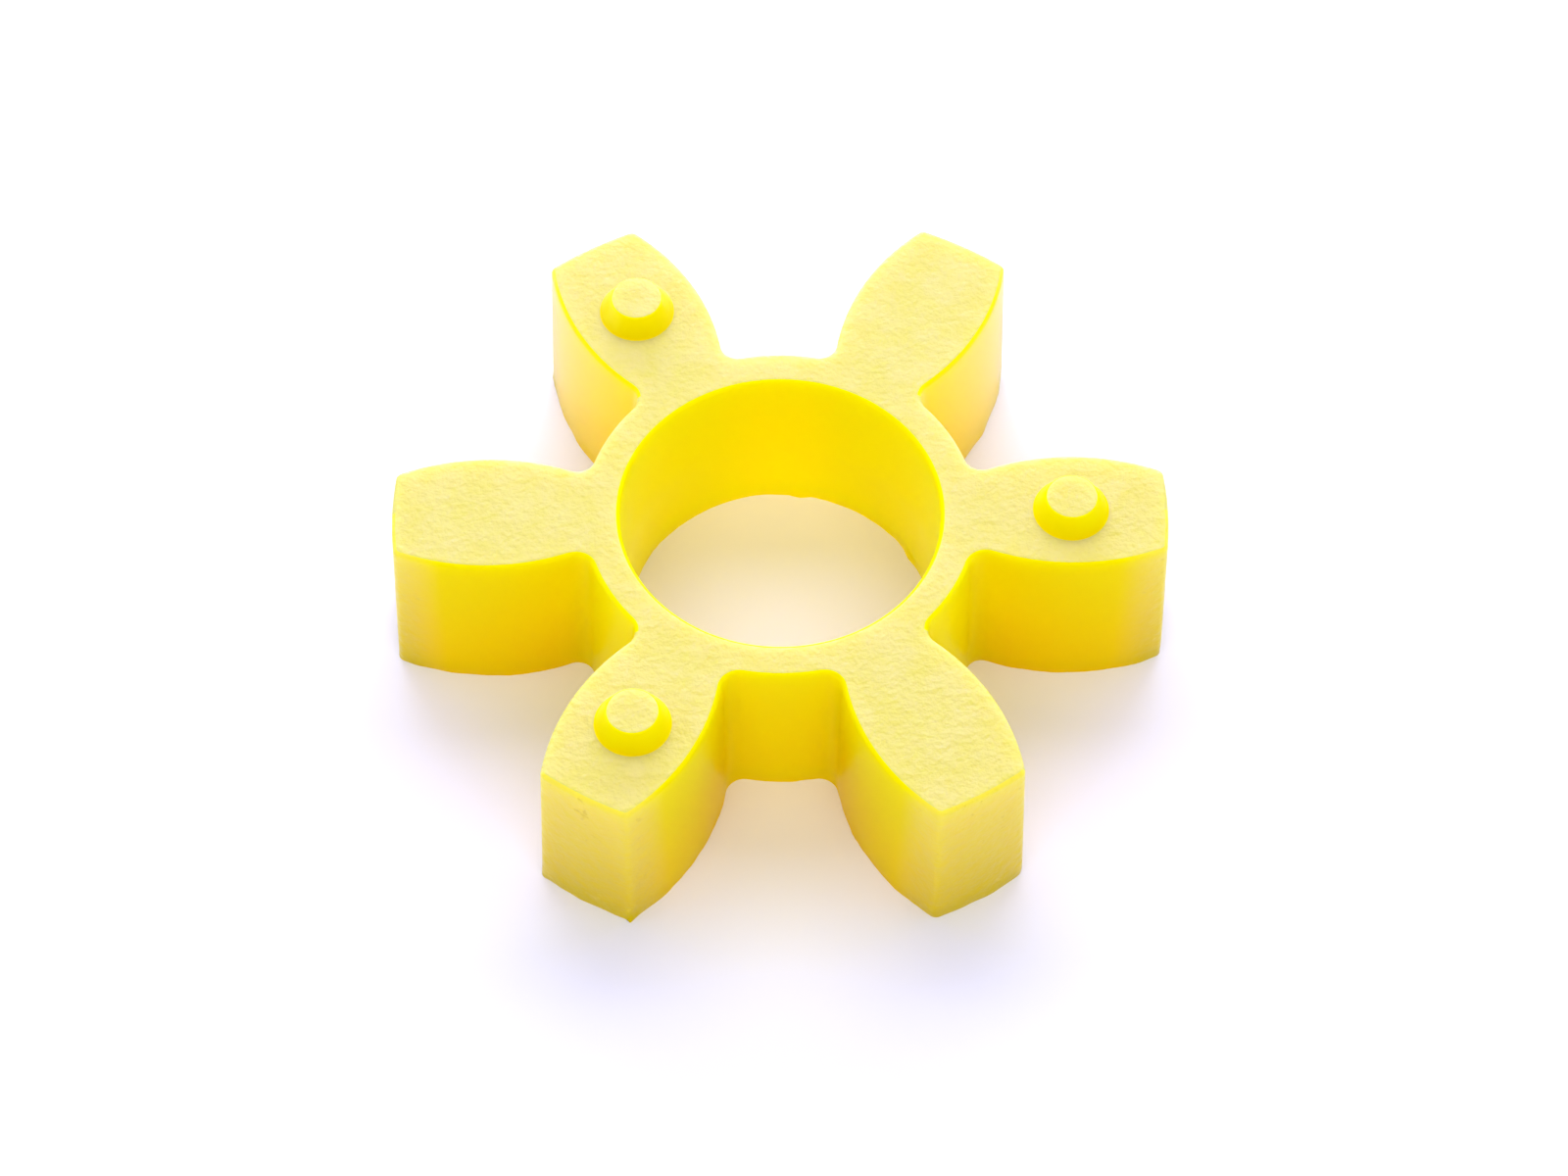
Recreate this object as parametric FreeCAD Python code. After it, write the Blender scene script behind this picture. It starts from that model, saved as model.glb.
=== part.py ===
import FreeCAD, Part
import math
import os

# Elastic spider of a jaw coupling: one polyurethane casting with a ring and
# six crowned arms. The jaws of two hubs stand in the gaps between the arms.
# Millimetres. Origin at the centre of the flat underside, +Z towards the pips.
# Arm 1 points along +X, and the others follow every 60 degrees.

# ---- driving dimensions ----
ARMS = 6
THICKNESS = 18.0        # underside to the upper face
TIP_R = 37.4            # arm tips at the upper face (about 75 across)
RING_R = 19.0           # outside of the ring at the upper face
ARM_HALF_WIDTH = 6.5    # widest half width of an arm at the upper face
CROWN_X = 28.2          # where along the arm it is widest
CROWN_R = 22.7          # radius of the barrel-shaped flanks
ROOT_R = 1.75           # concave corner between an arm and the ring
CORNER_R = 0.8          # corner between a flank and the tip
DRAFT = 0.45            # how much the outline grows from the upper face to the underside
EDGE_R = 0.5            # rounding of the edges round the upper face

BORE_R = 14.75          # straight land at the lower end of the bore
BORE_LAND = 9.0         # its height
BORE_MOUTH_R = 15.5     # the bore opens to this at the upper face

PIP_ARMS = (0, 2, 4)    # every other arm carries a pip
PIP_AT = 28.0           # distance of a pip from the axis
PIP_TOP_R = 2.5
PIP_HEIGHT = 2.2        # above the upper face
PIP_SLOPE = 26.0        # degrees off vertical
PIP_ROOT_R = 0.4        # concave corner at the foot of a pip
PIP_RIM_R = 0.3         # rounding of its upper rim
PIP_SUNK = 0.5          # how far its foot goes into the arm, so that the solids join


def polar(radius, angle):
    return (radius * math.cos(angle), radius * math.sin(angle))


def on_circle(centre, radius, towards):
    """The point of a circle that lies in the direction of another point."""
    angle = math.atan2(towards[1] - centre[1], towards[0] - centre[0])
    return (centre[0] + radius * math.cos(angle), centre[1] + radius * math.sin(angle))


def crossing(r1, centre, r2):
    """The upper crossing of a circle about the origin and one about centre."""
    d = math.hypot(centre[0], centre[1])
    along = (r1 * r1 - r2 * r2 + d * d) / (2.0 * d)
    across = math.sqrt(r1 * r1 - along * along)
    ux, uy = centre[0] / d, centre[1] / d
    return (along * ux - across * uy, along * uy + across * ux)


def half_arm(grow):
    """Key points of the upper half of an arm's outline, from the ring to the tip."""
    ring_r = RING_R + grow
    tip_r = TIP_R + grow
    flank = (CROWN_X, ARM_HALF_WIDTH + grow - CROWN_R)
    root = crossing(ring_r + ROOT_R, flank, CROWN_R + ROOT_R)
    corner = crossing(tip_r - CORNER_R, flank, CROWN_R - CORNER_R)
    ring_end = on_circle((0.0, 0.0), ring_r, root)
    flank_start = on_circle(flank, CROWN_R, root)
    flank_end = on_circle(flank, CROWN_R, corner)
    tip_start = on_circle((0.0, 0.0), tip_r, corner)
    root_towards = ((ring_end[0] + flank_start[0]) / 2.0, (ring_end[1] + flank_start[1]) / 2.0)
    corner_towards = ((flank_end[0] + tip_start[0]) / 2.0, (flank_end[1] + tip_start[1]) / 2.0)
    flank_middle = (flank[0], flank[1] + CROWN_R)
    return {
        "ring_end": ring_end,
        "root_middle": on_circle(root, ROOT_R, root_towards),
        "flank_start": flank_start,
        "flank_middle": flank_middle,
        "flank_end": flank_end,
        "corner_middle": on_circle(corner, CORNER_R, corner_towards),
        "tip_start": tip_start,
        "tip_middle": (tip_r, 0.0),
        "ring_r": ring_r,
    }


def outline(grow, z):
    """The spider's outline as a wire of tangent arcs at height z."""
    key = half_arm(grow)
    pitch = 2.0 * math.pi / ARMS

    def place(point, turn, mirrored=False):
        x, y = point[0], -point[1] if mirrored else point[1]
        c, s = math.cos(turn), math.sin(turn)
        return FreeCAD.Vector(x * c - y * s, x * s + y * c, z)

    edges = []
    for index in range(ARMS):
        turn = index * pitch
        low = [place(key[name], turn, True) for name in (
            "ring_end", "root_middle", "flank_start", "flank_middle",
            "flank_end", "corner_middle", "tip_start")]
        high = [place(key[name], turn) for name in (
            "tip_start", "corner_middle", "flank_end", "flank_middle",
            "flank_start", "root_middle", "ring_end")]
        tip = place(key["tip_middle"], turn)
        ring_middle = place(polar(key["ring_r"], pitch / 2.0), turn)
        next_start = place(key["ring_end"], turn + pitch, True)
        edges.append(Part.Arc(low[0], low[1], low[2]).toShape())
        edges.append(Part.Arc(low[2], low[3], low[4]).toShape())
        edges.append(Part.Arc(low[4], low[5], low[6]).toShape())
        edges.append(Part.Arc(low[6], tip, high[0]).toShape())
        edges.append(Part.Arc(high[0], high[1], high[2]).toShape())
        edges.append(Part.Arc(high[2], high[3], high[4]).toShape())
        edges.append(Part.Arc(high[4], high[5], high[6]).toShape())
        edges.append(Part.Arc(high[6], ring_middle, next_start).toShape())
    return Part.Wire(edges)


def turned(points):
    """A solid turned about the Z axis from a closed profile of (radius, height)."""
    corners = [FreeCAD.Vector(r, 0.0, z) for r, z in points]
    face = Part.Face(Part.makePolygon(corners + corners[:1]))
    return face.revolve(FreeCAD.Vector(0, 0, 0), FreeCAD.Vector(0, 0, 1), 360)


# ---- body: the outline narrows towards the upper face ----
body = Part.makeLoft([outline(DRAFT, 0.0), outline(0.0, THICKNESS)], True, True)

# ---- bore: a straight land, then a drafted mouth ----
# The mouth's slope carries on above the upper face, so that the cut is clean.
mouth_slope = (BORE_MOUTH_R - BORE_R) / (THICKNESS - BORE_LAND)
over = 2.0
bore = turned([
    (0.0, -over),
    (BORE_R, -over),
    (BORE_R, BORE_LAND),
    (BORE_MOUTH_R + mouth_slope * over, THICKNESS + over),
    (0.0, THICKNESS + over),
])
spider = body.cut(bore)

# ---- rounded edges all round the upper face; the underside stays sharp ----
upper_edges = [
    edge for edge in spider.Edges
    if edge.BoundBox.ZMin > THICKNESS - 0.01 and edge.BoundBox.ZMax < THICKNESS + 0.01
]
spider = spider.makeFillet(EDGE_R, upper_edges)

# ---- pips: blunt cones that keep a hub's face clear of the arms ----
slope = math.tan(math.radians(PIP_SLOPE))
foot_r = PIP_TOP_R + PIP_HEIGHT * slope
pip = Part.makeCone(foot_r + PIP_SUNK * slope, PIP_TOP_R, PIP_HEIGHT + PIP_SUNK)
pip.translate(FreeCAD.Vector(PIP_AT, 0.0, THICKNESS - PIP_SUNK))
for index in PIP_ARMS:
    one = pip.copy()
    one.rotate(FreeCAD.Vector(0, 0, 0), FreeCAD.Vector(0, 0, 1), index * 360.0 / ARMS)
    spider = spider.fuse(one)

# Circles at the foot and at the rim of each pip, rounded with their own radii.
def ring_edges(shape, radius, height):
    return [
        edge for edge in shape.Edges
        if edge.Curve.TypeId == "Part::GeomCircle"
        and abs(edge.Curve.Radius - radius) < 0.02
        and abs(edge.BoundBox.ZMin - height) < 0.02
        and abs(edge.BoundBox.ZMax - height) < 0.02
    ]


spider = spider.makeFillet(PIP_ROOT_R, ring_edges(spider, foot_r, THICKNESS))
spider = spider.makeFillet(PIP_RIM_R, ring_edges(spider, PIP_TOP_R, THICKNESS + PIP_HEIGHT))

os.makedirs("parts", exist_ok=True)
spider.exportStep("parts/spider.step")

print("solids", len(spider.Solids), "valid", spider.isValid(), "faces", len(spider.Faces))
print("box", spider.BoundBox)
print("volume cm3", round(spider.Volume / 1000.0, 3))
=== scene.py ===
import math

import bmesh
import bpy
from mathutils import Matrix, Vector


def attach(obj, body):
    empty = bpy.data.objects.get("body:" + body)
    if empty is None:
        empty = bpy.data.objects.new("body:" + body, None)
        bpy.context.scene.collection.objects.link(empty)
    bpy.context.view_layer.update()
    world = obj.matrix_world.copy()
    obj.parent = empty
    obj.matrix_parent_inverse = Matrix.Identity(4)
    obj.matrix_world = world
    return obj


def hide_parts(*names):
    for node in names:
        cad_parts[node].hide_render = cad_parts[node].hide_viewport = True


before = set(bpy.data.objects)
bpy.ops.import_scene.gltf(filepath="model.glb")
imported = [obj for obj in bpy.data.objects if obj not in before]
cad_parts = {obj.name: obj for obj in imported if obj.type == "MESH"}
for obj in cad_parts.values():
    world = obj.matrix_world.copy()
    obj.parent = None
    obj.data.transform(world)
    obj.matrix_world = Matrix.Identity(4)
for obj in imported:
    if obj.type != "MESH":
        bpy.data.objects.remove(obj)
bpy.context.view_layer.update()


# ---------------------------------------------------------------------------
# Casting: the elastic spider of a jaw coupling. Yellow polyurethane is poured
# into an open metal mould, so the face with the pips is the mould's floor, the
# walls have draft, and the open side is trimmed flat and becomes the underside.
# ---------------------------------------------------------------------------
MM = 0.001
ARMS = 6
PITCH = 2 * math.pi / ARMS
TOP_Z = 18.0 * MM
TIP_R = 37.4 * MM
RING_R = 19.0 * MM
ARM_HALF_WIDTH = 6.5 * MM
CROWN_X = 28.2 * MM
CROWN_R = 22.7 * MM
ROOT_R = 1.75 * MM
CORNER_R = 0.8 * MM
DRAFT = 0.45 * MM
EDGE_R = 0.5 * MM

# Points closer together than this count as one.
TOUCH = 0.01 * MM

# How many steps each arc of the outline has.
ARC_STEPS = {"tip": 8, "corner": 5, "flank": 30, "root": 8, "ring": 9}


def start_piece(name):
    """Deselect everything and leave one new mesh in edit mode with a single vertex in it."""
    if bpy.context.object and bpy.context.object.mode == "EDIT":
        bpy.ops.object.mode_set(mode="OBJECT")
    bpy.ops.object.select_all(action="DESELECT")
    bpy.ops.mesh.primitive_plane_add(size=MM)
    piece = bpy.context.object
    piece.name = name
    bpy.ops.object.mode_set(mode="EDIT")
    bpy.ops.mesh.select_mode(type="VERT")
    bpy.ops.mesh.select_all(action="SELECT")
    bpy.ops.mesh.merge(type="CENTER")
    return piece


def select(piece, kind, wanted):
    """In edit mode, select exactly the verts, edges or faces that pass a test."""
    mesh = bmesh.from_edit_mesh(piece.data)
    for part in (*mesh.faces, *mesh.edges, *mesh.verts):
        part.select = False
    for part in getattr(mesh, kind):
        if wanted(part):
            part.select_set(True)
    bmesh.update_edit_mesh(piece.data)


def newest(piece):
    """In edit mode, the place of the one vertex that is selected."""
    mesh = bmesh.from_edit_mesh(piece.data)
    return next(v.co.copy() for v in mesh.verts if v.select)


def meet(bore_side, centre, flank_side):
    """Upper crossing of a circle about the bore's axis and one about centre, from their radii."""
    apart = centre.length
    along = (bore_side * bore_side - flank_side * flank_side + apart * apart) / (2 * apart)
    across = math.sqrt(bore_side * bore_side - along * along)
    ahead = centre / apart
    return Vector((along * ahead.x - across * ahead.y, along * ahead.y + across * ahead.x, 0))


def turn(centre, start, end):
    """Signed angle from start to end about centre, the short way."""
    first = math.atan2(start.y - centre.y, start.x - centre.x)
    last = math.atan2(end.y - centre.y, end.x - centre.x)
    return (last - first + math.pi) % (2 * math.pi) - math.pi


def spin_to(piece, centre, end, steps):
    """Spin the selected vertex about centre until it reaches the direction of end."""
    # Spin goes clockwise when its angle is above zero.
    angle = -turn(centre, newest(piece), end)
    bpy.ops.mesh.spin(steps=steps, angle=angle, center=centre, axis=(0, 0, 1))


def name_loop(piece, name):
    """Keep the piece's vertices as a named loop, and leave edit mode."""
    bpy.ops.object.mode_set(mode="OBJECT")
    group = piece.vertex_groups.new(name=name)
    group.add(range(len(piece.data.vertices)), 1.0, "REPLACE")


def outline(name, grow, z):
    """The spider's outline at one height, drawn as arcs spun from a single vertex."""
    lift = Vector((0, 0, z))
    ring_r = RING_R + grow
    tip_r = TIP_R + grow
    flank = Vector((CROWN_X, ARM_HALF_WIDTH + grow - CROWN_R, 0))
    root = meet(ring_r + ROOT_R, flank, CROWN_R + ROOT_R)
    corner = meet(tip_r - CORNER_R, flank, CROWN_R - CORNER_R)
    past_corner = (corner - flank) * 2 + flank
    half_pitch = Vector((math.cos(PITCH / 2), math.sin(PITCH / 2), 0))

    # Half an arm and its share of the ring, from the tip's middle inwards.
    piece = start_piece(name)
    bpy.ops.transform.translate(value=(tip_r, 0, z))
    spin_to(piece, lift, corner, ARC_STEPS["tip"])
    spin_to(piece, corner + lift, past_corner, ARC_STEPS["corner"])
    spin_to(piece, flank + lift, root, ARC_STEPS["flank"])
    spin_to(piece, root + lift, Vector((0, 0, 0)), ARC_STEPS["root"])
    spin_to(piece, lift, half_pitch, ARC_STEPS["ring"])

    # Its other half, then the other arms.
    bpy.ops.mesh.select_all(action="SELECT")
    bpy.ops.mesh.duplicate()
    bpy.ops.transform.mirror(constraint_axis=(False, True, False), center_override=(0, 0, 0))
    bpy.ops.mesh.select_all(action="SELECT")
    other_arms = ARMS - 1
    bpy.ops.mesh.spin(steps=other_arms, angle=PITCH * other_arms, dupli=True,
                      center=lift, axis=(0, 0, 1))
    bpy.ops.mesh.select_all(action="SELECT")
    bpy.ops.mesh.remove_doubles(threshold=TOUCH)
    name_loop(piece, name)
    return piece


def circle(name, radius, z, steps):
    """A plain round loop about the bore's axis."""
    bpy.ops.object.select_all(action="DESELECT")
    bpy.ops.mesh.primitive_circle_add(vertices=steps, radius=radius, location=(0, 0, z))
    piece = bpy.context.object
    bpy.ops.object.transform_apply()
    name_loop(piece, name)
    return piece


def join(name, pieces):
    """Join pieces into one mesh and open it in edit mode with nothing selected."""
    bpy.ops.object.select_all(action="DESELECT")
    for piece in pieces:
        piece.select_set(True)
    bpy.context.view_layer.objects.active = pieces[0]
    bpy.ops.object.join()
    pieces[0].name = name
    bpy.ops.object.mode_set(mode="EDIT")
    bpy.ops.mesh.select_mode(type="VERT")
    bpy.ops.mesh.select_all(action="DESELECT")
    return pieces[0]


def select_loops(piece, *names):
    """In edit mode, select the named loops and nothing else."""
    bpy.ops.mesh.select_mode(type="VERT")
    bpy.ops.mesh.select_all(action="DESELECT")
    for name in names:
        piece.vertex_groups.active = piece.vertex_groups[name]
        bpy.ops.object.vertex_group_select()
    bpy.ops.mesh.select_mode(type="EDGE")


def bridge(piece, one, other):
    """Close the band between two loops."""
    select_loops(piece, one, other)
    bpy.ops.mesh.bridge_edge_loops()


# The bore has a straight land and a drafted mouth.
BORE_R = 14.75 * MM
BORE_LAND_Z = 9.0 * MM
BORE_MOUTH_R = 15.5 * MM
BORE_STEPS = 168

loops = [
    outline("foot", DRAFT, 0),
    outline("shoulder", 0, TOP_Z),
    circle("bore_low", BORE_R, 0, BORE_STEPS),
    circle("bore_land", BORE_R, BORE_LAND_Z, BORE_STEPS),
    circle("bore_mouth", BORE_MOUTH_R, TOP_Z, BORE_STEPS),
]

# Three pips, one on every other arm: blunt cones with a rounded rim and a concave foot.
PIP_AT = 28.0 * MM
PIP_TOP_R = 2.5 * MM
PIP_HEIGHT = 2.2 * MM
PIP_SLOPE = math.radians(26)
PIP_ROOT_R = 0.4 * MM
PIP_RIM_R = 0.3 * MM

# The pip's section starts and ends with a short flat band.
PIP_BAND = 0.25 * MM
PIP_SKIRT = 0.4 * MM
PIP_STEPS = 56
PIP_RIM_STEPS = 6
PIP_SIDE_STEPS = 3
PIP_ROOT_STEPS = 9
PIPS = 3
PIP_PITCH = 2 * math.pi / PIPS

pip_turn = math.pi / 2 - PIP_SLOPE
pip_flat_r = PIP_TOP_R - PIP_RIM_R * math.tan(pip_turn / 2)
pip_foot_r = PIP_TOP_R + PIP_HEIGHT * math.tan(PIP_SLOPE) + PIP_ROOT_R * math.tan(pip_turn / 2)


def pip_point(radius, height):
    """A point in the pip's section, at a distance from the pip's axis and above the upper face."""
    return Vector((PIP_AT + radius, 0, TOP_Z + height))


pip = start_piece("pip")
bpy.ops.transform.translate(value=pip_point(pip_flat_r - PIP_BAND, PIP_HEIGHT))
bpy.ops.mesh.extrude_region_move(TRANSFORM_OT_translate={"value": (PIP_BAND, 0, 0)})
rim_middle = pip_point(pip_flat_r, PIP_HEIGHT - PIP_RIM_R)
bpy.ops.mesh.spin(steps=PIP_RIM_STEPS, angle=-pip_turn, center=rim_middle, axis=(0, 1, 0))
root_middle = pip_point(pip_foot_r, PIP_ROOT_R)
root_start = root_middle - PIP_ROOT_R * Vector((math.cos(PIP_SLOPE), 0, math.sin(PIP_SLOPE)))
side = root_start - newest(pip)
for step in range(PIP_SIDE_STEPS):
    bpy.ops.mesh.extrude_region_move(TRANSFORM_OT_translate={"value": side / PIP_SIDE_STEPS})
bpy.ops.mesh.spin(steps=PIP_ROOT_STEPS, angle=pip_turn, center=root_middle, axis=(0, 1, 0))
bpy.ops.mesh.extrude_region_move(TRANSFORM_OT_translate={"value": (PIP_SKIRT, 0, 0)})
bpy.ops.mesh.select_all(action="SELECT")
bpy.ops.mesh.spin(steps=PIP_STEPS, angle=2 * math.pi, center=pip_point(0, 0), axis=(0, 0, 1))
bpy.ops.mesh.select_all(action="SELECT")
bpy.ops.mesh.remove_doubles(threshold=TOUCH)
bpy.ops.mesh.select_all(action="SELECT")
other_pips = PIPS - 1
bpy.ops.mesh.spin(steps=other_pips, angle=PIP_PITCH * other_pips, dupli=True,
                  center=(0, 0, 0), axis=(0, 0, 1))
bpy.ops.object.mode_set(mode="OBJECT")

casting = join("spider_casting", loops + [pip])
bridge(casting, "foot", "shoulder")
bridge(casting, "bore_low", "bore_land")
bridge(casting, "bore_land", "bore_mouth")


def level(part, height):
    """Whether all of an edge or a face lies at one height."""
    return all(abs(v.co.z - height) < TOUCH for v in part.verts)


# The flat faces are closed between all the open loops at one height.
for height in (0, TOP_Z, TOP_Z + PIP_HEIGHT):
    bpy.ops.mesh.select_mode(type="EDGE")
    select(casting, "edges", lambda e: len(e.link_faces) < 2 and level(e, height))
    bpy.ops.mesh.fill(use_beauty=True)
bpy.ops.mesh.select_all(action="SELECT")
bpy.ops.mesh.normals_make_consistent(inside=False)

# The upper edges are rounded, and a narrow flat band runs along each of them. Only they turn
# by more than a radian.
FLAT_BAND = 0.2 * MM
SHARP_TURN = 1.0
bpy.ops.mesh.select_mode(type="FACE")
select(casting, "faces", lambda f: len(f.verts) == 3 and level(f, TOP_Z))
bpy.ops.mesh.inset(thickness=EDGE_R + FLAT_BAND)
bpy.ops.mesh.select_mode(type="EDGE")
select(casting, "edges", lambda e: e.calc_face_angle(0) > SHARP_TURN and level(e, TOP_Z))
bpy.ops.mesh.bevel(offset=EDGE_R, segments=5, profile=0.5, affect="EDGES")

# Level cuts round the walls, in millimetres, closer together near the trimmed lower edge.
LEVEL_CUTS = (0.12, 0.3, 0.6, 1.0, 1.6, 2.4, 3.4, 4.6, 6.0, 7.5, 10.5, 12.0, 13.5, 15.0, 16.4)
for height in LEVEL_CUTS:
    bpy.ops.mesh.select_all(action="SELECT")
    bpy.ops.mesh.bisect(plane_co=(0, 0, height * MM), plane_no=(0, 0, 1))


def pull(piece, degrees, radius, outward, reach):
    """Draw the lower edge out near one place, given as an angle and a distance from the axis."""
    angle = math.radians(degrees)
    away = Vector((math.cos(angle), math.sin(angle), 0))
    bpy.ops.mesh.select_mode(type="VERT")
    foot = [v.co.copy() for v in bmesh.from_edit_mesh(piece.data).verts if v.co.z < TOUCH]
    nearest = min(foot, key=lambda co: (co - radius * away).length)
    select(piece, "verts", lambda v: (v.co - nearest).length < TOUCH)
    bpy.ops.transform.translate(value=outward * away, use_proportional_edit=True,
                                proportional_size=reach, proportional_edit_falloff="SMOOTH")


# Where the knife missed: a tag at one tip's corner, and two slight swellings into the bore.
pull(casting, 248.4, TIP_R + DRAFT, 0.45 * MM, 0.6 * MM)
pull(casting, 81.0, BORE_R, -0.30 * MM, 1.5 * MM)
pull(casting, 28.0, BORE_R, -0.15 * MM, 1.5 * MM)
bpy.ops.object.mode_set(mode="OBJECT")

# The cut wanders a little, and the walls above it follow less and less. Each direction has a
# pattern of its own, so that the two don't drift together.
WANDER = 0.5 * MM
WANDER_LENGTH = 3.5 * MM
WANDER_HEIGHT = 3.0 * MM
trim = casting.vertex_groups.new(name="trim")
for vertex in casting.data.vertices:
    fade = 1 - vertex.co.z / WANDER_HEIGHT
    if fade > 0:
        trim.add([vertex.index], fade * fade, "REPLACE")
for axis, basis in (("X", "BLENDER_ORIGINAL"), ("Y", "ORIGINAL_PERLIN")):
    wander = bpy.data.textures.new("wander_" + axis, "CLOUDS")
    wander.noise_scale = WANDER_LENGTH
    wander.noise_basis = basis
    drift = casting.modifiers.new("drift_" + axis, "DISPLACE")
    drift.texture = wander
    drift.direction = axis
    drift.vertex_group = "trim"
    drift.strength = WANDER
    bpy.ops.object.modifier_apply(modifier=drift.name)

# Edges that turn by less than this are shaded smooth.
SMOOTH_TURN = math.radians(40)
bpy.ops.object.select_all(action="DESELECT")
casting.select_set(True)
bpy.ops.object.shade_smooth_by_angle(angle=SMOOTH_TURN)
casting.vertex_groups.clear()


def linear(code):
    """Linear colour from an sRGB hex value."""
    parts = [int(code[i:i + 2], 16) / 255 for i in (1, 3, 5)]
    return [c / 12.92 if c <= 0.04045 else ((c + 0.055) / 1.055) ** 2.4 for c in parts] + [1.0]


def node(tree, kind, settings=(), links=()):
    """Add a node: settings are its sockets or properties, links are (output, input) pairs."""
    made = tree.nodes.new(kind)
    for key, value in dict(settings).items():
        if isinstance(key, int) or key in made.inputs:
            made.inputs[key].default_value = value
        else:
            setattr(made, key, value)
    for output, key in links:
        tree.links.new(output, made.inputs[key])
    return made


def blob_scale(size):
    """The scale of a noise texture whose blobs are about this size."""
    return 0.5 / size


# Two materials share the casting. The walls left a polished mould: satin, deep yellow,
# and slightly translucent, so that light bleeds through the edges and the walls colour
# each other. The upper face left a grained mould floor, so it is finely pebbled. Its paler
# colour is painted sheen from the lamps above, on a lit copy of the same polyurethane.
SUNK_LIGHT = 0.8


def polyurethane(name, rough):
    """Cast polyurethane, about 92 Shore A."""
    material = bpy.data.materials.new(name)
    material.use_nodes = True
    shader = material.node_tree.nodes["Principled BSDF"]
    shader.inputs["Roughness"].default_value = rough
    shader.inputs["IOR"].default_value = 1.5
    shader.inputs["Subsurface Weight"].default_value = SUNK_LIGHT
    shader.inputs["Subsurface Radius"].default_value = (1.0, 0.9, 0.1)
    shader.inputs["Subsurface Scale"].default_value = 3.0 * MM
    return material, material.node_tree, shader


# The sockets of a node that mixes two colours.
FACTOR, FIRST, SECOND, MIXED = 0, 6, 7, 2

wall_material, tree, shader = polyurethane("polyurethane_cast_on_polished_wall", rough=0.30)
place = node(tree, "ShaderNodeTexCoord").outputs["Object"]
split = node(tree, "ShaderNodeSeparateXYZ", (), [(place, 0)])
height = split.outputs["Z"]
flat = node(tree, "ShaderNodeVectorMath", {"operation": "MULTIPLY", 1: (1, 1, 0)}, [(place, 0)])
length = node(tree, "ShaderNodeVectorMath", {"operation": "LENGTH"}, [(flat.outputs[0], 0)])
radius = length.outputs["Value"]

# Colour: golden outside, with painted shade that deepens it towards the foot; lemon on both
# sides of the ring, which is painted light; and at the tips a paler straw, a painted reflection
# of the bright paper, also shaded towards the foot. Tiny pits speckle the tips.
ROOT_BAND = 4 * MM
TIP_BAND_R = 33 * MM
SPECK = 0.5 * MM
rise = node(tree, "ShaderNodeMapRange", {"From Max": TOP_Z + PIP_HEIGHT}, [(height, "Value")])
# Painted shade: the walls are painted darker towards the foot and brighter up to the pip tops.
shade_by_height = node(tree, "ShaderNodeMix",
              {"data_type": "RGBA", FIRST: linear("#F7CC00"), SECOND: linear("#FFE700")},
              [(rise.outputs["Result"], FACTOR)])
outward = node(tree, "ShaderNodeMapRange",
               {"From Min": BORE_MOUTH_R, "From Max": RING_R + ROOT_BAND}, [(radius, "Value")])
# Painted light: the bore and the walls beside the ring are painted a brighter lemon than the arms.
tone_with_painted_light = node(tree, "ShaderNodeMix", {"data_type": "RGBA", FIRST: linear("#FFEA00")},
            [(outward.outputs["Result"], FACTOR), (shade_by_height.outputs[MIXED], SECOND)])
near_tip = node(tree, "ShaderNodeMapRange",
                {"interpolation_type": "SMOOTHSTEP", "From Min": TIP_BAND_R, "From Max": TIP_R},
                [(radius, "Value")])
# Painted reflection: the tips are painted a paler straw for the bright paper they reflect, with
# painted shade towards the foot.
tip_sheen_and_shade = node(tree, "ShaderNodeMix",
             {"data_type": "RGBA", FIRST: linear("#DCBE00"), SECOND: linear("#FEE656")},
             [(rise.outputs["Result"], FACTOR)])
tone_with_tip_sheen = node(tree, "ShaderNodeMix", {"data_type": "RGBA"},
                [(near_tip.outputs["Result"], FACTOR), (tone_with_painted_light.outputs[MIXED], FIRST),
                 (tip_sheen_and_shade.outputs[MIXED], SECOND)])
specks = node(tree, "ShaderNodeTexNoise", {"Scale": blob_scale(SPECK), "Detail": 2},
              [(place, "Vector")])
pits = node(tree, "ShaderNodeMapRange", {"From Min": 0.66, "From Max": 0.76},
            [(specks.outputs["Fac"], "Value")])
tip_pits = node(tree, "ShaderNodeMath", {"operation": "MULTIPLY"},
                [(pits.outputs["Result"], 0), (near_tip.outputs["Result"], 1)])
pits_and_painted_light = node(tree, "ShaderNodeMix", {"data_type": "RGBA", SECOND: linear("#E8CC3C")},
                   [(tip_pits.outputs[0], FACTOR), (tone_with_tip_sheen.outputs[MIXED], FIRST)])
tree.links.new(pits_and_painted_light.outputs[MIXED], shader.inputs["Base Color"])

# Relief and sheen: fine grain that is strongest on the tips. The walls reflect each other, and
# their sheen is tinted yellow as a painted reflection of that yellow; it is slight except at
# the tips and on the two rear arms.
GRAIN = 0.6 * MM
GRAIN_DEPTH = 0.16 * MM
REAR_START_Y = 8 * MM
REAR_END_Y = 16 * MM
grain = node(tree, "ShaderNodeTexNoise", {"Scale": blob_scale(GRAIN), "Detail": 2},
             [(place, "Vector")])
relief = node(tree, "ShaderNodeBump", {"Distance": GRAIN_DEPTH},
              [(grain.outputs["Fac"], "Height"), (near_tip.outputs["Result"], "Strength")])
rearward = node(tree, "ShaderNodeMapRange", {"From Min": REAR_START_Y, "From Max": REAR_END_Y},
                [(split.outputs["Y"], "Value")])
rear_arms = node(tree, "ShaderNodeMath", {"operation": "MULTIPLY"},
                 [(rearward.outputs["Result"], 0), (outward.outputs["Result"], 1)])
glossy = node(tree, "ShaderNodeMath", {"operation": "MAXIMUM"},
              [(rear_arms.outputs[0], 0), (near_tip.outputs["Result"], 1)])
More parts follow.
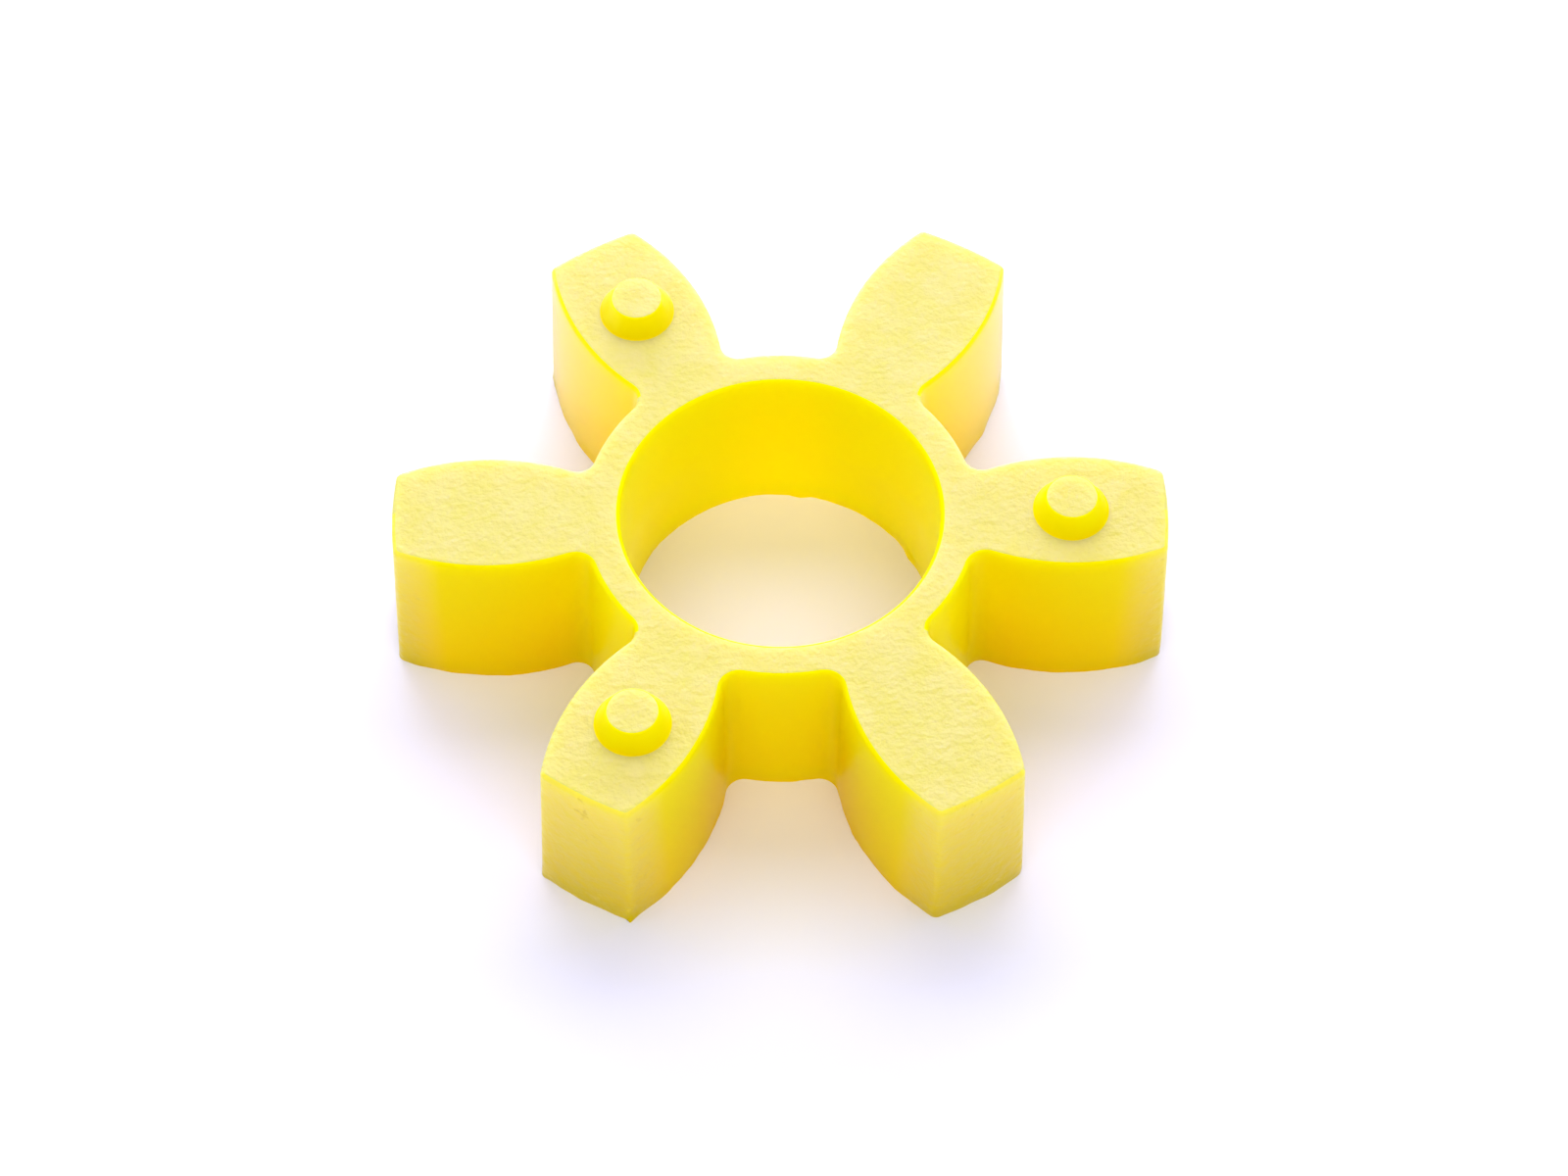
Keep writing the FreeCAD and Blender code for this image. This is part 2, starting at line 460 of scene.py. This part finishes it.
sheen = node(tree, "ShaderNodeMapRange", {"To Min": 0.04, "To Max": 0.6},
             [(glossy.outputs[0], "Value")])
# Painted reflection: every reflection off the walls is tinted yellow.
shader.inputs["Specular Tint"].default_value = linear("#FFE000")
tree.links.new(sheen.outputs["Result"], shader.inputs["Specular IOR Level"])
tree.links.new(relief.outputs["Normal"], shader.inputs["Normal"])

# Light that sinks in close to the foot would leave through the underside and be lost, while
# under a real casting the paper sends it back. So less and less of it sinks in there.
FOOT_BAND = 1.5 * MM
sinking = node(tree, "ShaderNodeMapRange", {"From Max": FOOT_BAND, "To Max": SUNK_LIGHT},
               [(height, "Value")])
tree.links.new(sinking.outputs["Result"], shader.inputs["Subsurface Weight"])

# The floor's grain has two sizes: pebbles of about a third of a millimetre, and waves of
# about a millimetre, which also shift the tone a little.
PEBBLE = 0.36 * MM
PEBBLE_DEPTH = 0.18 * MM
WAVE = 1.2 * MM
WAVE_DEPTH = 0.09 * MM
grain_and_sheen_material, tree, shader = polyurethane("polyurethane_grained_with_painted_sheen", rough=0.36)
place = node(tree, "ShaderNodeTexCoord").outputs["Object"]
pebbles = node(tree, "ShaderNodeTexNoise", {"Scale": blob_scale(PEBBLE), "Detail": 2},
               [(place, "Vector")])
waves = node(tree, "ShaderNodeTexNoise", {"Scale": blob_scale(WAVE), "Detail": 2},
             [(place, "Vector")])
patches = node(tree, "ShaderNodeMapRange", {"From Min": 0.35, "From Max": 0.65},
               [(waves.outputs["Fac"], "Value")])
# Painted sheen: the upper face is painted a paler, lit copy of the polyurethane colour; the waves
# shift it a little.
tone_with_painted_light = node(tree, "ShaderNodeMix",
            {"data_type": "RGBA", FIRST: linear("#DFD35E"), SECOND: linear("#E1D570")},
            [(patches.outputs["Result"], FACTOR)])
fine_relief = node(tree, "ShaderNodeBump", {"Distance": PEBBLE_DEPTH},
                   [(pebbles.outputs["Fac"], "Height")])
relief = node(tree, "ShaderNodeBump", {"Distance": WAVE_DEPTH},
              [(waves.outputs["Fac"], "Height"), (fine_relief.outputs["Normal"], "Normal")])
shader.inputs["Specular IOR Level"].default_value = 0.28
tree.links.new(tone_with_painted_light.outputs[MIXED], shader.inputs["Base Color"])
tree.links.new(relief.outputs["Normal"], shader.inputs["Normal"])

casting.data.materials.clear()
casting.data.materials.append(wall_material)
casting.data.materials.append(grain_and_sheen_material)

# How far up a face points, from 0 for an upright face to 1 for a level one.
LEVEL_FACE = 0.95
ROUNDED_RIM = 0.4

# The grained material, paler with painted sheen, covers the upper face. On the outer rims
# that face the rear it is a painted highlight from the lamps behind.
for face in casting.data.polygons:
    outer_rear = face.normal.y > 0 and face.center.xy.length > RING_R - EDGE_R
    rear_rim = outer_rear and face.center.z < TOP_Z
    grain_and_painted_sheen = face.normal.z > (ROUNDED_RIM if rear_rim else LEVEL_FACE)
    face.material_index = int(grain_and_painted_sheen and face.center.z > TOP_Z - EDGE_R)

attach(casting, "root")
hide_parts("spider")


# ---------------------------------------------------------------------------
# Table, light and camera: matte white paper lies under the casting, and large soft
# lamps stand round it like the walls of a white tent, brightest behind.
# ---------------------------------------------------------------------------
TABLE_SIZE = 6.0
bpy.ops.object.select_all(action="DESELECT")
bpy.ops.mesh.primitive_plane_add(size=TABLE_SIZE, location=(0, 0, 0))
table = bpy.context.object
table.name = "table"
paper = bpy.data.materials.new("matte_white_paper")
paper.use_nodes = True
shader = paper.node_tree.nodes["Principled BSDF"]
shader.inputs["Base Color"].default_value = linear("#F4F4F6")
shader.inputs["Roughness"].default_value = 0.8
shader.inputs["Specular IOR Level"].default_value = 0.2
table.data.materials.append(paper)


def softbox(name, place, size, radiance, colour):
    """A rectangular lamp facing the casting. Its radiance is in W per m2 and steradian."""
    light = bpy.data.lights.new(name, "AREA")
    light.shape = "RECTANGLE"
    light.size, light.size_y = size
    light.energy = radiance * math.pi * size[0] * size[1]
    light.color = linear(colour)[:3]
    lamp = bpy.data.objects.new(name, light)
    lamp.location = place
    lamp.rotation_euler = (-Vector(place)).to_track_quat("-Z", "Y").to_euler()
    bpy.context.collection.objects.link(lamp)


# The tent: brightest and coolest behind and low, warmer from the front, dim at the sides.
softbox("tent_back_low", (0, 0.68, 0.18), (0.80, 0.30), 8.9, "#CCD6FF")
softbox("tent_back_high", (0, 0.40, 0.57), (0.50, 0.34), 4.5, "#ECE8FF")
softbox("tent_front", (0, -0.42, 0.56), (0.80, 0.55), 2.25, "#FFF4EA")
for side in (-1, 1):
    softbox("tent_corner", (0.40 * side, 0.34, 0.47), (0.40, 0.40), 2.9, "#B4B0FF")
    softbox("tent_side", (0.66 * side, -0.05, 0.24), (0.50, 0.35), 1.95, "#DCFAFF")

world = bpy.data.worlds.new("studio")
bpy.context.scene.world = world
world.use_nodes = True
background = world.node_tree.nodes["Background"]
background.inputs["Color"].default_value = linear("#CDD9FF")
background.inputs["Strength"].default_value = 0.26

bpy.context.scene.view_settings.view_transform = "Standard"
bpy.context.scene.view_settings.look = "None"

# A long lens, tipped down by 55.7 degrees.
LENS = 114.1
SENSOR = 36.0
ELEVATION = math.radians(55.70)
AZIMUTH = math.radians(-0.79)
ROLL = math.radians(0.36)
DISTANCE = 495.3 * MM
aim = Vector((0.4 * MM, 3.3 * MM, 0))
camera_data = bpy.data.cameras.new("camera")
camera_data.lens = LENS
camera_data.sensor_width = SENSOR
camera_data.clip_start = 0.01
camera = bpy.data.objects.new("camera", camera_data)
back = Vector((0, -math.cos(ELEVATION), math.sin(ELEVATION)))
swing = Matrix.Rotation(AZIMUTH, 4, "Z")
stand = Matrix.Translation(aim + back * DISTANCE)
tilt = Matrix.Rotation(math.pi / 2 - ELEVATION, 4, "X")
roll = Matrix.Rotation(ROLL, 4, "Z")
camera.matrix_world = swing @ stand @ tilt @ roll
bpy.context.collection.objects.link(camera)
bpy.context.scene.camera = camera
